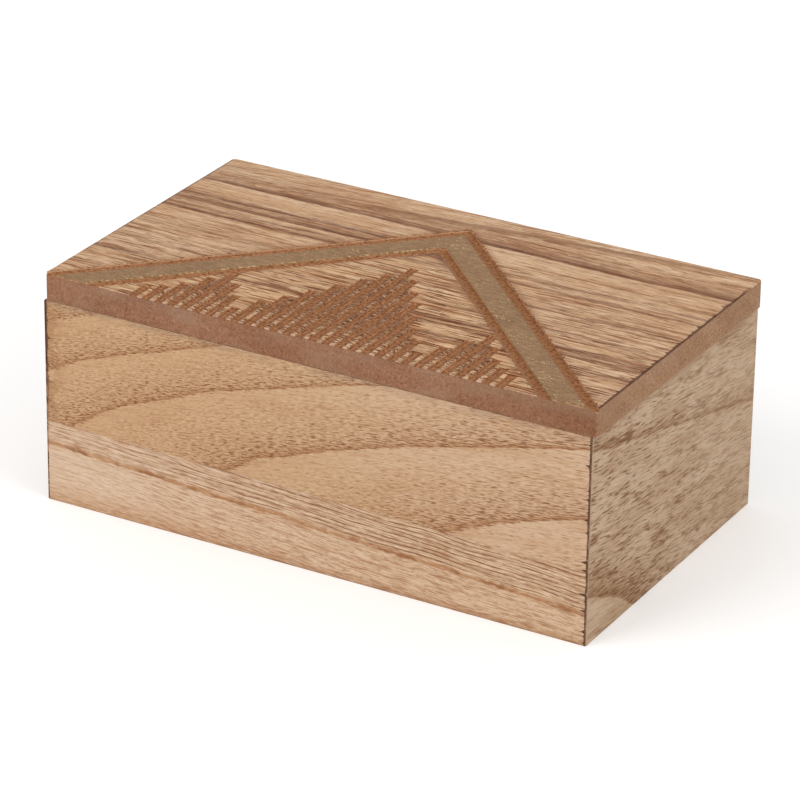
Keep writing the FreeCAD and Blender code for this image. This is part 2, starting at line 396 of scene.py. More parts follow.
def leaf_piece(name, node, facing, arris, ragged, spacing, finishes):
    """A veneer leaf over its solid: outline as the solid's, eased arris, and edges a little torn. Round the
    outside of the leaf the edges are sanded straighter than where it is cut inside."""
    low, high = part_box(node)
    facing = Vector(facing)
    thickness = abs((Vector(high) - Vector(low)).dot(facing))
    across = Vector((0.0, 0.0, 1.0)) if abs(facing.z) < 0.5 else Vector((0.0, 1.0, 0.0))
    across, along = across.cross(facing), across
    sides = [(way, Vector(corner).dot(way)) for way in (across, along) for corner in (low, high)]
    made = bmesh.new()
    for outline in leaf_outlines(node, facing):
        dotted = even_outline(outline, spacing)
        level = facing * dotted[0].dot(facing)
        torn = []
        for point in dotted:
            outside = min(abs(point.dot(way) - side) for way, side in sides) < sanded_margin
            tear = ragged * max(0.0, noise.noise(point * tear_fineness) + tear_lift)
            torn.append(tear * sanded_share if outside else tear)
        edge = inset(dotted, facing, torn)
        rings = [[made.verts.new(point - facing * thickness) for point in dotted]]
        for drawn, sunk in ((0.0, 1.0), (0.3, 0.3), (1.0, 0.0)):
            ring = inset(edge, facing, [arris * drawn] * len(edge))
            rings.append([made.verts.new(point - facing * arris * sunk) for point in ring])
        for number, (below, above) in enumerate(zip(rings, rings[1:])):
            for i in range(len(below)):
                corners = (below[i - 1], below[i], above[i], above[i - 1])
                made.faces.new(corners).material_index = 1 if number == 0 else 0
        points, faces, came_from = cover(dotted, across, along, inner_spacing * spacing)
        for ring, depth, turned in ((rings[-1], 0.0, False), (rings[0], thickness, True)):
            corners = []
            for point, number in zip(points, came_from):
                if number < len(ring):
                    corners.append(ring[number])
                else:
                    spot = across * point[0] + along * point[1] + level - facing * depth
                    corners.append(made.verts.new(spot))
            for face in faces:
                face = [corners[number] for number in (reversed(face) if turned else face)]
                made.faces.new(face).material_index = 1 if turned else 0
    bmesh.ops.recalc_face_normals(made, faces=made.faces)
    mesh = bpy.data.meshes.new(name)
    made.to_mesh(mesh)
    made.free()
    for finish in finishes:
        mesh.materials.append(finish)
    piece = bpy.data.objects.new(name, mesh)
    bpy.context.scene.collection.objects.link(piece)
    return piece


def cut_edge(name, bright, burnt, share):
    """The cut edge of a leaf: pale wood, burnt brown over a share of its length."""
    finish, tree, shader = new_finish(name)
    x, y, z = place_on_piece(tree)
    run = x + y + z
    fine = mottle(run, z, 0.8, 0.4, 2.0, 3.0, 0.6)
    patch = mottle(run, z, 5.0, 5.0, 8.0)
    burn = fine * 0.5 + patch * 0.5
    burn = fade(burn, 0.62 - 0.25 * share, 0.50 - 0.25 * share)
    colour = lay_over(burn, burnt, bright)
    colour = lay_over(fade(fine, 0.48, 0.66), colour, stain(206, 190, 178), "MULTIPLY")
    colour.into(shader.inputs["Base Color"])
    shader.inputs["Roughness"].default_value = 0.85
    relief(shader, fine, 0.0001)
    return finish, shader, (x, y, z), colour


scorch_brown = stain(88, 57, 42)
burnt_black = stain(70, 45, 34)
sawn_rim = cut_edge("sawn_leaf_edge", stain(184, 146, 116), stain(138, 102, 78), 0.30)[0]
front_half_length = 119.3


def scorch_front_ends(x, z, colour):
    """The ends of a front leaf: a thin burnt line with spurs on the right, a burnt band that fades downwards
    on the left."""
    scorch = scorching(front_half_length - x, z, 0.62, 2.8, 2.0)
    colour = lay_over(scorch * 0.92, colour, burnt_black)
    scorch = scorching(x + front_half_length, z, 1.3, 2.0, 9.0) * fade(z, 16.0, 66.0)
    return lay_over(scorch * 0.85, colour, scorch_brown)


wood_orange = stain(203, 165, 126)
wood_pink = stain(211, 179, 149)
wood_tan = stain(192, 151, 113)
wood_cream = stain(222, 190, 155)
wood_scale = stain(176, 134, 98)
pore_brown = stain(136, 91, 60)
ring_brown = stain(168, 118, 79)

finish, tree, shader = new_finish("ringed_front_veneer")
x, y, z = place_on_piece(tree)
# each ring is a tongue lying on its side: its place along the board grows with the square of the height
ring_axis_height = 10.7
ring_bend = 0.04118
ring_spread = 0.00011
sway = mottle(x, z, 46.0, 24.0, 1.0)
tremble = mottle(x, z, 7.0, 4.0, 6.0)
height = z - ring_axis_height
squared = height * height
ring = (x - squared * ring_bend) / (squared * ring_spread + 1.0)
reach = 12.0 - fade(x, 10.0, 70.0) * 8.0
ring = ring + (sway - 0.5) * reach + swing(tremble, 1.4)
front_rings = (
    (-203.0, 26.0, 2.0, 1.0),
    (-166.5, 30.0, 2.0, 1.0),
    (-124.0, 38.0, 2.0, 1.0),
    (-53.6, 64.0, 2.0, 1.0),
    (39.4, 84.0, 2.5, 1.0),
    (150.0, 95.0, 3.0, 1.0),
)
shade = ring_shade(ring, -240.0, 160.0, front_rings)
opened = shade ** 1.5
# the pores are short flecks on the left and grow to dashes on the right, and they rise to the right
along = x * (1.0 - x * 0.0016)
climb = x * 0.0002 - 0.13
ripple = mottle(x, z, 6.0, 3.0, 33.0)
across = x * climb + z + swing(ripple, 1.0)
density = opened * 0.46 + fade(x, 10.0, 90.0) * 0.04 + 0.22
dashes, flecks, gleam = pores(along, across, density, 3.2, 0.50, 3.0)
streaks = fibre_lines(x, across, 15.0, 0.6, 5.0)
colour = lay_over(fade(x, -70.0, 110.0), wood_orange, wood_pink)
cloud = mottle(x, across, 55.0, 12.0, 9.0)
colour = lay_over(fade(cloud, 0.42, 0.75) * 0.6, colour, wood_tan)
colour = lay_over(fade(streaks, 0.46, 0.70), colour, stain(230, 214, 200), "MULTIPLY")
# between the lines the wood is covered with pale and tan scales, apart from a smooth band after each line
scales = mottle(along, across, 2.5, 0.62, 35.0, 1.0)
scaly = fade(shade, -0.32, 0.40)
pale_scales = fade(scales, 0.50, 0.34) * scaly
tan_scales = fade(scales, 0.50, 0.66) * scaly
colour = lay_over(pale_scales * 0.45, colour, wood_cream)
colour = lay_over(tan_scales * 0.55, colour, wood_scale)
gleam = gleam * (opened * 0.45 + 0.10)
colour = lay_over(gleam, colour, wood_cream)
colour = lay_over(opened * 0.22, colour, ring_brown)
flecks = flecks * (opened * 0.5 + 0.36)
colour = lay_over(flecks, colour, ring_brown)
line = fade(shade, 0.90, 0.99)
colour = lay_over(line * 0.6, colour, ring_brown)
dashes = dashes * (opened * 0.30 + 0.66)
colour = lay_over(dashes, colour, pore_brown)
# the left end is browned in patches, and a grey painted shade lies just under the lid, in patches, where the
# lid's edge would shade the front
browned = fade(mottle(x, z, 5.0, 8.0, 37.0), 0.36, 0.58)
browned = browned * fade(x, -108.0, -119.0)
colour = lay_over(browned * 0.5, colour, stain(158, 110, 72))
painted_lid_shade = fade(mottle(x, z, 16.0, 4.0, 36.0), 0.34, 0.60)
painted_lid_shade = painted_lid_shade * fade(z, 81.5, 85.8)
colour = lay_over(painted_lid_shade * 0.42, colour, stain(152, 124, 103))
colour = scorch_front_ends(x, z, colour)
colour.into(shader.inputs["Base Color"])
rough = dashes * 0.2 + 0.58
rough.into(shader.inputs["Roughness"])
relief(shader, streaks * 0.35 - dashes, 0.00005)
ringed_front = finish

joint_arris = 0.00005
joint_torn = 0.00003
dot_spacing = 0.0009
front = (0.0, -1.0, 0.0)
finishes = [ringed_front, sawn_rim]
piece = leaf_piece(
    "front_leaf_upper", "front_veneer_upper", front, joint_arris, joint_torn, dot_spacing, finishes
)
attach(piece, "box")
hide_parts("front_veneer_upper")

# The lower front leaf: a narrow leaf with straight grain, glued under the ringed one on a slightly slanting
# joint. Fine dark lines run beside the joint, then one brown ring line, then pale wood with soft streaks.
finish, tree, shader = new_finish("straight_front_veneer")
x, y, z = place_on_piece(tree)
line_fall = 0.05
sway = mottle(x, z, 42.0, 26.0, 12.0)
tremble = mottle(x, z, 12.0, 5.0, 15.0)
ring = x * line_fall + z + swing(sway, 2.6) + swing(tremble, 0.6)
ruffle = mottle(x, z, 4.0, 1.6, 16.0)
ragged = ring + swing(ruffle, 2.0)
ring_line = ring_shade(ragged, 0.0, 40.0, ((19.0, 0.9, 2.2, 1.0),))
ring_line = fade(ring_line, 0.0, 1.0)
# pairs of dark late-wood lines, broken along their length
warp = mottle(x, ring, 30.0, 6.0, 17.0)
layers = []
for pitch, low, high, seed in ((1.85, 0.35, 0.95, 18.0), (1.10, 0.45, 0.98, 23.0)):
    phase = warp * 1.2 + ring / pitch
    wave = (phase * (2.0 * math.pi)).step("SINE")
    gaps = fade(mottle(x, ring, 16.0, 1.1, seed), 0.34, 0.54)
    layers.append(fade(wave, low, high) * gaps)
fine_lines = larger(layers[0], layers[1] * 0.55)
above = fade(ring, 20.2, 21.6)
rightward = fade(x, -130.0, 0.0)
fine_lines = fine_lines * (rightward * 0.55 + 0.42) * (above * 0.84 + 0.16)
soft_streaks = mottle(x, ring, 40.0, 1.8, 21.0, 3.0, 0.55)
streaks = fibre_lines(x, ring, 9.0, 0.55, 25.0)
colour = lay_over(fade(x, -110.0, 100.0), stain(222, 193, 165), stain(220, 190, 159))
busy = fade(x, -110.0, 20.0) * 0.55 + 0.45
brown_streaks = fade(soft_streaks, 0.50, 0.68) * busy * 0.7
colour = lay_over(brown_streaks, colour, stain(186, 145, 109))
low = fade(soft_streaks * 9.0 + z, 8.5, 4.0)
colour = lay_over(low * 0.8, colour, stain(178, 133, 96))
# under the ring line the left end is creamier, with fewer streaks, and turns tan towards its foot
calm = fade(x, -50.0, -105.0) * fade(ring, 18.6, 15.5)
cream = fade(mottle(x, ring, 26.0, 7.0, 27.0), 0.36, 0.60) * calm
colour = lay_over(cream * 0.35, colour, stain(226, 203, 178))
tan_foot = fade(x, 10.0, -70.0) * fade(z, 11.0, 2.0)
colour = lay_over(tan_foot * 0.42, colour, stain(192, 144, 101))
streaked = fade(streaks, 0.45, 0.64) * (1.0 - calm * 0.5)
colour = lay_over(streaked, colour, stain(212, 188, 168), "MULTIPLY")
colour = lay_over(fine_lines, colour, stain(138, 92, 61))
knots = fade(mottle(x, z, 9.0, 40.0, 28.0), 0.40, 0.62)
colour = lay_over(ring_line * 0.85, colour, stain(178, 127, 84))
colour = lay_over(ring_line * knots * 0.85, colour, stain(144, 92, 56))
dashes, flecks, gleam = pores(x, ring, 0.42, 3.6, 0.7, 31.0)
colour = lay_over(gleam * 0.35, colour, stain(230, 205, 178))
colour = lay_over(flecks * busy * 0.45, colour, stain(168, 126, 92))
colour = lay_over(dashes * busy * 0.5, colour, stain(158, 115, 80))
colour = scorch_front_ends(x, z, colour)
foot = scorching(z, x, 0.5, 0.3, 7.0)
colour = lay_over(foot * 0.4, colour, scorch_brown)
colour.into(shader.inputs["Base Color"])
rough = fine_lines * 0.2 + 0.58
rough.into(shader.inputs["Roughness"])
relief(shader, streaks * 0.4 - fine_lines, 0.00006)
straight_front = finish

finishes = [straight_front, sawn_rim]
piece = leaf_piece(
    "front_leaf_lower", "front_veneer_lower", front, joint_arris, joint_torn, dot_spacing, finishes
)
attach(piece, "box")
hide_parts("front_veneer_lower")

# The end veneers: one leaf on each end of the box, cut from a greyer, coarser board. The rings fall towards
# the back, with long brown dashes all over. They lap the front leaves, so their front edge shows at the
# corner: worn pale on the right, burnt near the top on the left.
half_length = 120.0
half_width = 70.0


def coarse_veneer(name, axis, half, pull, shift, seed):
    """The finish of an end leaf or the back leaf, whose grain runs along the axis, 0 for x and 1 for y, for
    half the leaf's length to each side. Pull stretches its rings along the leaf and shift moves them."""
    finish, tree, shader = new_finish(name)
    place = place_on_piece(tree)
    z = place[2]
    along = place[axis] + half
    run = along * pull + shift
    fall = 0.5025 - z * 0.0045
    sway = mottle(run, z, 40.0, 20.0, seed)
    tremble = mottle(run, z, 9.0, 4.0, seed + 3.0)
    ring = -(run * fall + z + swing(sway, 8.0) + swing(tremble, 1.4))
    lines = ((-126.0, 14.0, 1.0, 0.8), (-97.0, 9.0, 1.5, 0.8), (-20.0, 26.0, 0.8, 1.0))
    shade = ring_shade(ring, -150.0, 0.0, lines)
    # one ring line falls straight from the top of the near end, and the wood below it is clean
    slope = -(run * 0.243 + z + swing(sway, 2.4) + swing(tremble, 2.4))
    slope_shade = ring_shade(slope, -120.0, -40.0, ((-80.2, 8.0, 1.2, 1.0),))
    shade = larger(shade, slope_shade)
    opened = shade ** 1.6
    ripple = mottle(along, z, 12.0, 5.0, seed + 13.0)
    across = along * 0.11 + z + swing(ripple, 2.4)
    patches = fade(mottle(along, across, 17.0, 4.5, seed + 5.0, 2.0), 0.48, 0.66)
    clean = fade(slope, -80.4, -79.0) * fade(slope, -66.0, -74.0)
    patches = patches * (1.0 - clean * 0.75)
    nearer = fade(along, 150.0, 10.0)
    porous = fade(ring, -18.7, -21.2)
    density = porous * (opened * 0.34 + patches * 0.34 + 0.36) + 0.04
    dashes, flecks, gleam = pores(along, across, density, 6.5, 0.74, seed)
    dashes = dashes * (nearer * 0.58 + 0.36)
    streaks = fibre_lines(along, across, 13.0, 0.7, seed + 7.0)
    cloud = mottle(along, across, 50.0, 10.0, seed + 9.0)
    colour = lay_over(fade(cloud, 0.38, 0.7), stain(191, 166, 139), stain(179, 151, 122))
    colour = lay_over(gleam * 0.3, colour, stain(203, 178, 148))
    brown = larger(opened, patches * 0.8) * (nearer * 0.35 + 0.15)
    colour = lay_over(brown, colour, stain(136, 94, 56))
    colour = lay_over(fade(shade, 0.78, 0.97) * 0.38, colour, stain(130, 90, 58))
    colour = lay_over(fade(streaks, 0.46, 0.68), colour, stain(220, 202, 186), "MULTIPLY")
    colour = lay_over(flecks * 0.42, colour, stain(140, 102, 68))
    colour = lay_over(dashes * 0.85, colour, stain(112, 74, 44))
    # painted shade: a brown shade lies just under the lid, in patches, where the lid's overhang would shade
    # the leaf
    painted_lid_shade = fade(mottle(along, z, 22.0, 5.0, seed + 17.0), 0.34, 0.56)
    painted_lid_shade = painted_lid_shade * fade(z, 80.5, 85.5)
    colour = lay_over(painted_lid_shade * 0.46, colour, stain(140, 108, 84))
    worn = fade(along, 1.3, 0.5)
    colour = lay_over(worn * 0.5, colour, stain(172, 142, 120))
    colour.into(shader.inputs["Base Color"])
    rough = dashes * 0.2 + 0.6
    rough.into(shader.inputs["Roughness"])
    relief(shader, streaks * 0.35 - dashes, 0.00006)
    return finish


worn_rim = cut_edge("worn_leaf_edge", stain(160, 130, 110), stain(112, 82, 64), 0.5)[0]
burnt_rim, shader, (x, y, z), colour = cut_edge(
    "burnt_leaf_edge", stain(186, 148, 118), scorch_brown, 0.25
)
patch = mottle(z, y, 7.0, 30.0, 44.0)
burnt = fade(patch * 60.0 + z, 70.0, 92.0)
colour = lay_over(burnt, colour, stain(76, 50, 38))
colour.into(shader.inputs["Base Color"])

wall_arris = 0.00012
wall_torn = 0.0003
for name, node, side, shift, seed, rim in (
    ("right_leaf", "right_veneer", 1.0, 0.0, 41.0, worn_rim),
    ("left_leaf", "left_veneer", -1.0, 23.0, 73.0, burnt_rim),
):
    finish = coarse_veneer(name + "_veneer", 1, half_width, 1.0, shift, seed)
    piece = leaf_piece(name, node, (side, 0.0, 0.0), wall_arris, wall_torn, dot_spacing, [finish, rim])
    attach(piece, "box")
    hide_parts(node)

# The back veneer: one plain leaf of the same coarse wood, glued to the back wall under the hinges. Its grain
# runs along the box.
finish = coarse_veneer("back_leaf_veneer", 0, half_length, 0.4, 30.0, 97.0)
piece = leaf_piece(
    "back_leaf", "back_veneer", (0.0, 1.0, 0.0), wall_arris, wall_torn, dot_spacing, [finish, sawn_rim]
)
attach(piece, "box")
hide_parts("back_veneer")

# The lid board: one fibreboard panel with rounded corners. The ornament's grooves are routed through the
# veneer into it, and the cutter's heat left the groove floors a warmer, darker brown.
finish, shader, (x, y, z), colour = bare_board("lid_fibreboard")
lid_low, lid_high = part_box("lid_board")
lid_left = lid_low[0] * 1000
lid_right = lid_high[0] * 1000
lid_front = lid_low[1] * 1000
lid_back = lid_high[1] * 1000
lid_middle = (lid_left + lid_right) / 2


def smaller(first, second):
    """The smaller of two values at each spot."""
    return first.step("MINIMUM", second)


from_side = (lid_right - lid_left) / 2 - abs(x - lid_middle)
from_end = (lid_back - lid_front) / 2 - abs(y - (lid_front + lid_back) / 2)
within = fade(smaller(from_side, from_end), 0.1, 0.5)
routed = fade(z, 95.4, 96.0) * within
fuzz = mottle(x, y, 1.5, 1.5, 51.0, 4.0, 0.7)
floor_brown = lay_over(fade(fuzz, 0.38, 0.62), stain(134, 87, 55), stain(182, 128, 90))
chevron_half_base = 118.9
chevron_rise = 121.0 / chevron_half_base
hatch_pitch = 5.7


def chevron_depth(x, y):
    """Distance from the middle line of the lid, from its front edge, and from the chevron's outer border
    groove, inwards and square to it."""
    from_middle = abs(x - lid_middle)
    from_front = y - lid_front
    depth = (chevron_half_base - from_middle) * chevron_rise
    depth = (depth - from_front) / math.hypot(1.0, chevron_rise)
    return from_middle, from_front, depth


def hatch_phase(x):
    """Where a spot lies across the hatch: 0.5 in the middle of a groove, 0 or 1 in the middle of a strip."""
    return (x / hatch_pitch + (0.5 - lid_middle / hatch_pitch)).step("FRACT")


# painted shade: the right leg's groove floors, and the right side of each hatch groove, are painted darker
# where the walls and strips would shade them
depth = chevron_depth(x, y)[2]
right_leg = fade(x, -1.0, 4.0) * fade(depth, 17.0, 16.5)
floor_brown = lay_over(right_leg, floor_brown, stain(230, 224, 212), "MULTIPLY")
# painted light: parts of the right leg's groove floors near their walls are painted lighter, lifting the
# walls' shade there
painted_light_near_walls = larger(fade(depth, 14.6, 16.4), fade(depth, 0.4, 1.9) * fade(depth, 8.0, 7.0))
floor_brown = lay_over(painted_light_near_walls * right_leg * 0.7, floor_brown, stain(168, 129, 98))
painted_strip_shadow = fade(hatch_phase(x), 0.33, 0.5) * fade(depth, 16.5, 17.0)
floor_brown = lay_over(painted_strip_shadow, floor_brown, stain(236, 235, 233), "MULTIPLY")
# painted light: the walls that face the front or the right are painted lighter than the floors, as if lit; in
# the hatch they are frayed
rightward, backward, upward = facing_of(x.tree)
frontal = fade(backward, -0.2, -0.6)
painted_wall_light = larger(frontal, fade(rightward, 0.2, 0.8) * 0.6)
painted_wall_light = painted_wall_light * fade(fuzz, 0.34, 0.54) * fade(upward, 0.7, 0.3)
floor_brown = lay_over(painted_wall_light * 0.85, floor_brown, stain(196, 150, 111))
dusty = mottle(x + y, z, 30.0, 30.0, 53.0)
dusty = fade(dusty, 0.35, 0.60) * fade(z, 89.0, 96.5)
colour = lay_over(dusty * 0.25, colour, stain(166, 139, 119))
darker_end = frontal * fade(x, 40.0, 105.0)
colour = lay_over(darker_end, colour, stain(243, 239, 234), "MULTIPLY")
colour = lay_over(routed, colour, floor_brown)
# painted highlight: the lower edge is painted paler, as if its arris caught the light
painted_edge_light = fade(z, 86.4, 86.1)
colour = lay_over(painted_edge_light * 0.4, colour, stain(206, 168, 140))
colour.into(shader.inputs["Base Color"])
nodes["lid_board"].material_slots[0].material = finish

# The lid veneer: leaves of the same wood with long straight streaks, glued to the board before the routing,
# which left a large leaf behind the chevron and the strips of the hatch inside it. Both ends are scorched.
finish, tree, shader = new_finish("streaked_lid_veneer")
x, y, z = place_on_piece(tree)
from_left = x - lid_left
from_back = lid_back - y
sway = mottle(x, y, 70.0, 34.0, 61.0)
tremble = mottle(x, y, 17.0, 5.0, 64.0)
ring = from_back + swing(sway, 3.0) + swing(tremble, 1.2)
# at the back the grain climbs to the right, up to a slanting streak
slant_rise = 0.097
slant = from_left * slant_rise + ring
grain = put(tree, "Mix", {0: fade(slant, 25.0, 21.5), 2: ring, 3: slant})
slant_lines = ring_shade(slant, 0.0, 40.0, ((6.7, 1.6, 0.6, 0.45), (22.6, 0.8, 5.0, 0.9)))
slant_reach = fade(from_left, 50.0, 80.0) * fade(from_left, 236.0, 180.0)
slant_lines = slant_lines * larger(slant_reach, fade(slant, 10.0, 8.0))
# each ring darkens slowly towards the front, to a narrow streak; the rings of the left half run on in another
# way to the right. Each is (distance from the back, length of the rise, length of the drop, strength)
left_rings = (
    (24.8, 19.0, 1.0, 0.85),
    (46.6, 11.5, 1.4, 0.92),
    (56.0, 7.5, 1.6, 0.68),
    (75.0, 11.0, 4.0, 0.30),
    (92.5, 10.0, 3.0, 0.25),
    (106.5, 9.0, 2.0, 0.40),
    (125.0, 12.0, 5.0, 0.25),
    (140.0, 8.0, 1.0, 0.40),
)
right_rings = (
    (25.6, 15.0, 1.2, 0.85),
    (48.0, 6.0, 1.5, 0.35),
    (54.0, 4.0, 1.4, 0.35),
    (70.0, 9.0, 3.0, 0.35),
    (87.0, 8.0, 3.0, 0.32),
    (101.0, 7.0, 3.0, 0.75),
    (114.0, 7.0, 3.0, 0.55),
    (128.0, 8.0, 3.0, 0.50),
    (140.0, 6.0, 1.0, 0.50),
)
left_streaks = (
    (24.8, 3.6, 0.9, 0.90),
    (40.3, 2.2, 1.2, 0.95),
    (46.3, 3.0, 0.9, 1.00),
    (51.0, 1.4, 0.8, 0.60),
    (55.4, 1.8, 0.8, 0.95),
    (72.0, 1.4, 0.6, 0.45),
    (84.0, 1.4, 0.6, 0.45),
    (92.5, 1.6, 0.7, 0.45),
    (99.5, 1.6, 0.7, 0.45),
    (105.7, 2.4, 0.9, 0.80),
)
right_streaks = (
    (25.6, 3.4, 0.9, 1.00),
    (29.2, 0.9, 0.5, 0.45),
    (47.2, 1.5, 0.6, 0.70),
    (53.4, 1.5, 0.6, 0.85),
    (64.0, 1.2, 0.5, 0.55),
    (70.0, 1.9, 0.7, 0.75),
    (86.0, 1.7, 0.7, 0.75),
    (98.0, 2.4, 0.9, 0.95),
    (102.6, 1.7, 0.7, 0.85),
    (112.0, 1.8, 0.7, 0.80),
)
rightward = fade(x, -35.0, 30.0)
ruffle = mottle(x, grain, 7.0, 1.5, 69.0)
beaded = mottle(x, grain, 2.4, 0.7, 71.0)
ragged = ring + swing(ruffle, 1.6) + swing(beaded, 1.0)
shades = []
for rise, left_lines, right_lines in ((ring, left_rings, right_rings), (ragged, left_streaks, right_streaks)):
    left_shade = ring_shade(rise, -10.0, 145.0, left_lines)
    right_shade = ring_shade(rise, -10.0, 145.0, right_lines)
    shades.append(put(tree, "Mix", {0: rightward, 2: left_shade, 3: right_shade}))
strength = fade(mottle(x, ring, 34.0, 6.0, 67.0), 0.34, 0.58)
tone = shades[0] * (strength * 0.3 + 0.7)
gaps = fade(mottle(x, ragged, 10.0, 0.8, 73.0), 0.40, 0.56)
streak_lines = shades[1] * (strength * 0.5 + 0.5) * (gaps * 0.36 + 0.72)
frontward = fade(from_back, 30.0, 115.0)
# thin reddish lines between the streaks, long, wavy and broken; there are more near the front
ruffled = grain + swing(ruffle, 0.7) + swing(beaded, 0.7)
wide_lines = fade(mottle(x, ruffled, 48.0, 1.9, 70.0, 1.5), 0.54, 0.63)
thin_lines = fade(mottle(x, ruffled, 15.0, 0.85, 72.0, 1.5), 0.53, 0.62)
from_middle, from_front, depth = chevron_depth(x, y)
inside = fade(depth, 16.0, 17.0)
thin_lines = thin_lines * (frontward * 0.36 + rightward * 0.2 + inside * 0.25 + 0.27)
# the wood just in front of the streak behind the chevron is pale and plain
plain = fade(ring, 25.5, 27.5) * fade(ring, 38.0, 33.0)
lined = 1.0 - plain * 0.6
thin_lines = thin_lines * lined
wide_lines = wide_lines * lined * (inside * 0.22 + 0.62)
pale_lines = fade(mottle(x, ruffled, 40.0, 2.0, 74.0, 1.5), 0.52, 0.64)
pale_lines = pale_lines * (inside * 0.3 + 0.55)
streaks = fibre_lines(x, ruffled, 9.0, 0.5, 76.0)
cloud = mottle(x, ring, 70.0, 10.0, 79.0, 2.0)
colour = lay_over(fade(cloud, 0.36, 0.64), stain(221, 187, 152), stain(208, 169, 133))
colour = lay_over(pale_lines, colour, stain(229, 201, 171))
colour = lay_over(tone * 0.66, colour, stain(141, 84, 52))
colour = lay_over(slant_lines * 0.6, colour, stain(124, 82, 55))
colour = lay_over(wide_lines, colour, stain(152, 96, 58))
colour = lay_over(thin_lines, colour, stain(122, 71, 43))
colour = lay_over(fade(streaks, 0.44, 0.68), colour, stain(212, 190, 168), "MULTIPLY")
colour = lay_over(streak_lines * 0.97, colour, stain(92, 49, 33))
dashes = pores(x, ruffled, tone * 0.5 + 0.30, 6.0, 0.6, 82.0)[0]
colour = lay_over(dashes * 0.5, colour, stain(118, 72, 46))
# where the streak behind the chevron runs off the right end, the wood before it is dark too
run_off = fade(from_left, 205.0, 240.0) * fade(ring, 17.0, 24.0) * fade(ring, 28.0, 25.4)
colour = lay_over(run_off * 0.4, colour, stain(112, 74, 52))
colour = lay_over(inside, colour, stain(255, 251, 244), "MULTIPLY")
# the outer leaf ends just outside the outer groove's middle, the inner leaf inside the inner groove, and the
# cutter smoked the wood there
outer_leaf_end = -2.1
inner_leaf_end = 16.6
band_middle = (outer_leaf_end + inner_leaf_end) / 2
band_half_width = (inner_leaf_end - outer_leaf_end) / 2
from_groove = abs(depth - band_middle) - band_half_width
smoke = fade(from_groove, 3.4, 0.2) * fade(from_front, -40.0, 110.0)
colour = lay_over(smoke * 0.45, colour, stain(142, 95, 64))
scorch = scorching(from_groove, x, 0.36, 1.5, 87.0) * (fade(x, -10.0, 10.0) * 0.4 + 0.35)
colour = lay_over(scorch, colour, stain(100, 64, 46))
# a smudge under the inner corner of the chevron
smudge = fade(depth, 20.5, 17.0) * fade(depth, 14.0, 16.0) * fade(from_middle, 15.0, 3.0)
colour = lay_over(smudge * 0.6, colour, stain(106, 74, 58))

# the strips between the hatch grooves are scorched dark, apart from their front ends
peak_slope = 1.702
middle_peak_height = 78.4
side_peak_height = 39.6
side_peak_place = 57.0
middle_peak = middle_peak_height - from_middle * peak_slope
side_peak = side_peak_height - abs(from_middle - side_peak_place) * peak_slope
hatched = fade(larger(middle_peak, side_peak) - from_front, 2.5, 8.0)
stitch = mottle(x, from_front, 2.6, 0.62, 88.0, 1.0)
front_ends = from_front - mottle(x, y, 5.0, 9.0, 89.0) * 20.0
burnt = hatched * fade(front_ends, -6.0, 8.0)
inward = fade(from_front, 8.0, 22.0)
colour = lay_over(burnt * (inward * 0.14 + 0.75), colour, stain(143, 98, 67))
dark_stitch = hatched * fade(stitch, 0.52, 0.61)
colour = lay_over(dark_stitch * 0.9, colour, stain(82, 53, 39))
pale_stitch = hatched * fade(stitch, 0.45, 0.34)
sparse = burnt * fade(mottle(x, from_front, 5.0, 5.0, 83.0), 0.62, 0.48)
pale_stitch = pale_stitch * (1.0 - sparse * 0.55)
colour = lay_over(pale_stitch * 0.9, colour, stain(226, 188, 154))
# the left edge of each strip is charred
phase = hatch_phase(x)
charred = fade(phase, 0.94, 0.82) * fade(phase, 0.6, 0.7) * hatched * fade(from_front, 1.0, 8.0)
broken = fade(mottle(x, from_front, 4.0, 7.0, 84.0), 0.42, 0.58)
colour = lay_over(charred * (inward * broken * 0.5 + 0.15), colour, stain(78, 51, 38))
tips = hatched * fade(from_front, 2.4, 0.8)
colour = lay_over(tips * 0.3, colour, stain(214, 180, 152))

# the ends of the lid are scorched by the saw
saw_line = 0.1
scorch = scorching(lid_right - saw_line - x, y, 1.7, 2.0, 85.0) * fade(y, 64.0, 52.0)
colour = lay_over(scorch * 0.88, colour, stain(80, 51, 38))
scorch = scorching(from_left, y, 1.5, 0.8, 86.0) * fade(y, -60.0, 0.0)
colour = lay_over(scorch * 0.8, colour, stain(92, 60, 46))
colour.into(shader.inputs["Base Color"])
rough = thin_lines * 0.2 + 0.58
rough.into(shader.inputs["Roughness"])
relief(shader, streaks - (thin_lines + dashes), 0.00010)
shader.inputs["Specular IOR Level"].default_value = 0.06
lid_wood = finish

# the leaves' edges are orange-brown in the grooves and pale round the outside of the lid
lid_rim, shader, (x, y, z), colour = cut_edge(
    "routed_leaf_edge", stain(200, 147, 104), stain(160, 108, 71), 0.45
)
# the edges that face the front right are painted lighter, as if lit, those that face the front left are
# beaded with char, and those along the hatch are painted lighter in frayed patches, as if lit
rightward, backward, _ = facing_of(x.tree)
frayed = fade(mottle(x, y, 1.2, 1.2, 92.0, 3.0), 0.36, 0.56)
frontal = fade(backward, -0.2, -0.6)
painted_wall_light = frontal * fade(rightward, 0.2, 0.6)
colour = lay_over(painted_wall_light * 0.85, colour, stain(206, 164, 125))
painted_hatch_wall_light = fade(rightward, 0.8, 0.95) * frayed
colour = lay_over(painted_hatch_wall_light * 0.4, colour, stain(192, 148, 108))
beads = fade(mottle(x, y, 1.5, 1.5, 94.0, 2.0), 0.53, 0.62) * frontal * fade(rightward, -0.2, -0.6)
colour = lay_over(beads * 0.85, colour, stain(74, 46, 34))
outside = smaller(y - lid_front, lid_right - x)
patch = fade(mottle(x, y, 3.0, 3.0, 90.0), 0.40, 0.60)
ends = lay_over(patch, stain(176, 140, 115), stain(206, 174, 150))
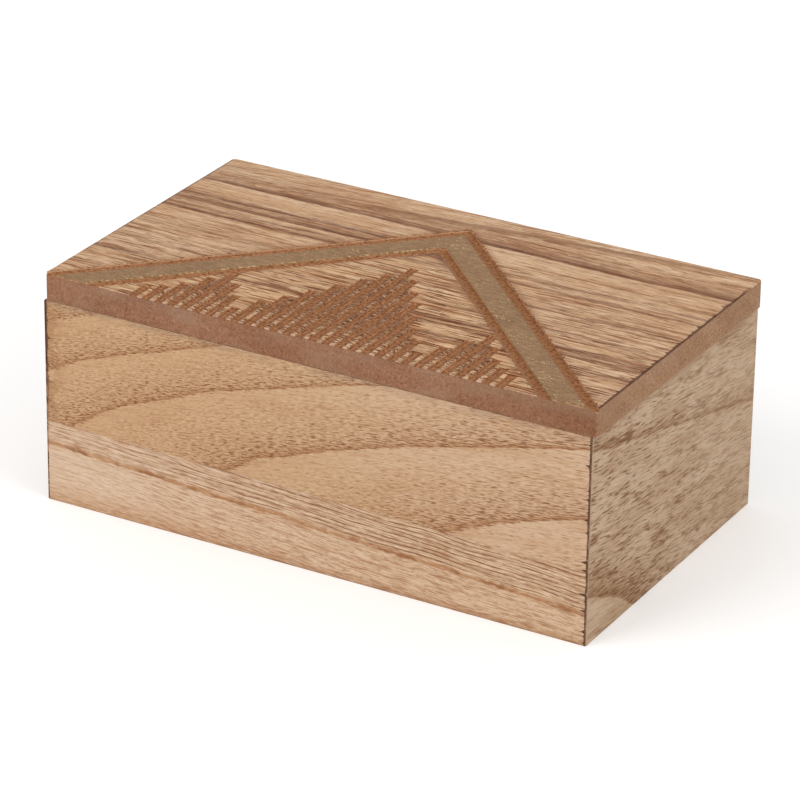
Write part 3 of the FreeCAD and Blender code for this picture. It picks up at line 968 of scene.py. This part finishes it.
ends = lay_over(fade(rightward, 0.6, 0.9), ends, stain(150, 112, 84))
colour = lay_over(fade(outside, 0.35, 0.15), colour, ends)
colour.into(shader.inputs["Base Color"])

up = (0.0, 0.0, 1.0)
lid_arris = 0.00028
lid_torn = 0.00042
for name, node in (("lid_leaf_outer", "lid_veneer_outer"), ("lid_leaf_inner", "lid_veneer_inner")):
    piece = leaf_piece(name, node, up, lid_arris, lid_torn, dot_spacing, [lid_wood, lid_rim])
    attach(piece, "lid")
    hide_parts(node)

# The gold chevron: the strip of veneer between the two border grooves, painted with a satin gold paint. The
# paint is a taupe gold with scattered bright metal flecks; the pale wood shows along its cut edges.
finish, tree, shader = new_finish("flecked_gold_paint")
x, y, z = place_on_piece(tree)
cloud = mottle(x, y, 22.0, 22.0, 91.0, 3.0)
fine = mottle(x, y, 0.9, 0.9, 93.0, 3.0, 0.6)
colour = lay_over(fade(cloud, 0.3, 0.7), stain(147, 113, 79), stain(158, 123, 88))
colour = lay_over(fade(fine, 0.42, 0.7), colour, stain(218, 214, 208), "MULTIPLY")
brushed = mottle(x, y, 4.5, 1.4, 98.0, 3.0, 0.6)
colour = lay_over(fade(brushed, 0.46, 0.66), colour, stain(232, 228, 222), "MULTIPLY")
colour = lay_over(fade(brushed, 0.46, 0.30) * 0.5, colour, stain(174, 140, 104))
# each cell draws two numbers: whether a fleck is there, and its size
spot = put(tree, "CombineXYZ", {0: x, 1: y})
distance = put(tree, "TexVoronoi", {"Vector": spot, "Scale": 0.95}, voronoi_dimensions="2D")
draw = put(tree, "SeparateColor", {0: distance.beside("Color")})
crowd = fade(mottle(x, y, 11.0, 7.0, 95.0, 3.0), 0.46, 0.66) * (fade(x, -40.0, 20.0) * 0.8 + 0.2)
there = fade(crowd * 0.36 + 0.012 - draw, 0.0, 0.01)
size = draw.beside(1) * 0.26 + 0.22
flecks_and_painted_glint = put(tree, "MapRange", {"Value": distance, "From Min": size, "From Max": 0.12}) * there
# a painted highlight: a bright line along the inner edge of the left leg, as if its edge caught the light; it
# joins the metal flecks
painted_edge_light = fade(chevron_depth(x, y)[2], 11.4, 12.0) * fade(x, 0.0, -6.0)
painted_edge_light = painted_edge_light * fade(mottle(x, y, 1.3, 1.3, 96.0, 2.0), 0.50, 0.64)
flecks_and_painted_glint = larger(flecks_and_painted_glint, painted_edge_light * 0.8)
colour = lay_over(flecks_and_painted_glint * 0.9, colour, stain(224, 190, 138))
colour.into(shader.inputs["Base Color"])
metal = flecks_and_painted_glint * 0.5 + 0.12
metal.into(shader.inputs["Metallic"])
rough = fine * 0.2 + 0.46
rough.into(shader.inputs["Roughness"])
shader.inputs["Specular IOR Level"].default_value = 0.15
relief(shader, fine + flecks_and_painted_glint, 0.00004)
gold_rim = cut_edge("painted_leaf_edge", stain(190, 150, 110), stain(160, 118, 82), 0.3)[0]
gold_torn = 0.00018
piece = leaf_piece("gold_band", "gold_chevron", up, lid_arris, gold_torn, dot_spacing, [finish, gold_rim])
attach(piece, "lid")
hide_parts("gold_chevron")

# The hinges: two small pressed brass hinges on the back, leaves rolled round a pin, each leaf held by screws.
# The brass has dulled to an antique brown in patches and is scratched bright here and there.
finish, tree, shader = new_finish("antique_brass")
x, y, z = place_on_piece(tree)
tarnish = mottle(x, y + z, 3.0, 3.0, 101.0, 4.0, 0.6)
scratch = mottle(x, z, 6.0, 0.15, 103.0, 2.0)
colour = lay_over(fade(tarnish, 0.38, 0.66), stain(186, 152, 96), stain(116, 90, 58))
colour = lay_over(fade(scratch, 0.6, 0.75), colour, stain(214, 184, 128))
colour.into(shader.inputs["Base Color"])
shader.inputs["Metallic"].default_value = 1.0
rough = tarnish * 0.35 + 0.22
rough.into(shader.inputs["Roughness"])
relief(shader, tarnish + scratch * 0.4, 0.00003)
for hinge in ("left_hinge_", "right_hinge_"):
    for part in ("body_leaf", "lid_leaf", "pin", "body_screws", "lid_screws"):
        nodes[hinge + part].material_slots[0].material = finish

# The studio: a wide pale floor, soft light all round, a large soft lamp in front on the left and a weaker one
# on the right, and the camera that looks down on the front right corner.


def seen_directly(tree):
    """1 where the eye sees a surface, straight or mirrored, and 0 for the light that it sheds on the box."""
    seen = put(tree, "LightPath", output="Is Camera Ray")
    return smaller(seen + seen.beside("Is Glossy Ray") + seen.beside("Is Transmission Ray"), 1.0)


finish, tree, shader = new_finish("pale_studio_floor")
x, y, z = place_on_piece(tree)
cloud = mottle(x, y, 400.0, 400.0, 1.0)
colour = lay_over(cloud, stain(238, 238, 238), stain(242, 242, 242))
colour.into(shader.inputs["Base Color"])
shader.inputs["Roughness"].default_value = 0.9
shader.inputs["Emission Color"].default_value = (1.0, 1.0, 1.0, 1.0)
glow = seen_directly(tree) * 0.25
glow.into(shader.inputs["Emission Strength"])
floor_half_width = 6.0
sheet = bmesh.new()
bmesh.ops.create_grid(sheet, x_segments=8, y_segments=8, size=floor_half_width)
mesh = bpy.data.meshes.new("studio_floor")
sheet.to_mesh(mesh)
sheet.free()
mesh.materials.append(finish)
studio_floor = bpy.data.objects.new("studio_floor", mesh)
bpy.context.scene.collection.objects.link(studio_floor)

room_light = 0.70
world = bpy.data.worlds.new("soft_room")
world.use_nodes = True
bpy.context.scene.world = world
tree = world.node_tree
sky = tree.nodes["Background"]
sky.inputs["Color"].default_value = (1.0, 1.0, 1.0, 1.0)
strength = seen_directly(tree) * (1.0 - room_light) + room_light
strength.into(sky.inputs["Strength"])

lamp_aim = Vector((0.0, 0.0, 0.05))
for name, spot, power, width, tint in (
    ("front_lamp", (-0.75, -1.35, 1.45), 13.0, 1.1, (1.0, 0.985, 0.97)),
    ("right_lamp", (1.6, -0.35, 0.85), 8.0, 0.9, (1.0, 0.99, 0.97)),
):
    lamp = bpy.data.lights.new(name, "AREA")
    lamp.energy = power
    lamp.size = width
    lamp.color = tint
    stand = bpy.data.objects.new(name, lamp)
    stand.location = spot
    stand.rotation_euler = (lamp_aim - Vector(spot)).to_track_quat("-Z", "Y").to_euler()
    bpy.context.scene.collection.objects.link(stand)

camera_turn = math.radians(29.299)
camera_rise = math.radians(25.05)
camera_roll = math.radians(0.853)
camera_distance = 1.7153
camera_lens = 196.52
camera_aim = Vector((0.0, 0.0, 0.045))
camera_shift = (-0.00008, -0.00067)
back = Vector((
    math.sin(camera_turn) * math.cos(camera_rise),
    -math.cos(camera_turn) * math.cos(camera_rise),
    math.sin(camera_rise),
))
level = Vector((math.cos(camera_turn), math.sin(camera_turn), 0.0))
upright = back.cross(level)
right = level * math.cos(camera_roll) + upright * math.sin(camera_roll)
top = upright * math.cos(camera_roll) - level * math.sin(camera_roll)
data = bpy.data.cameras.new("photo_camera")
data.lens = camera_lens
data.sensor_width = 36.0
data.clip_start = 0.05
data.clip_end = 50.0
camera = bpy.data.objects.new("photo_camera", data)
place = camera_aim + back * camera_distance + right * camera_shift[0] + top * camera_shift[1]
turn = Matrix((right, top, back)).transposed().to_4x4()
camera.matrix_world = Matrix.Translation(place) @ turn
bpy.context.scene.collection.objects.link(camera)
bpy.context.scene.camera = camera
bpy.context.scene.view_settings.view_transform = "Standard"
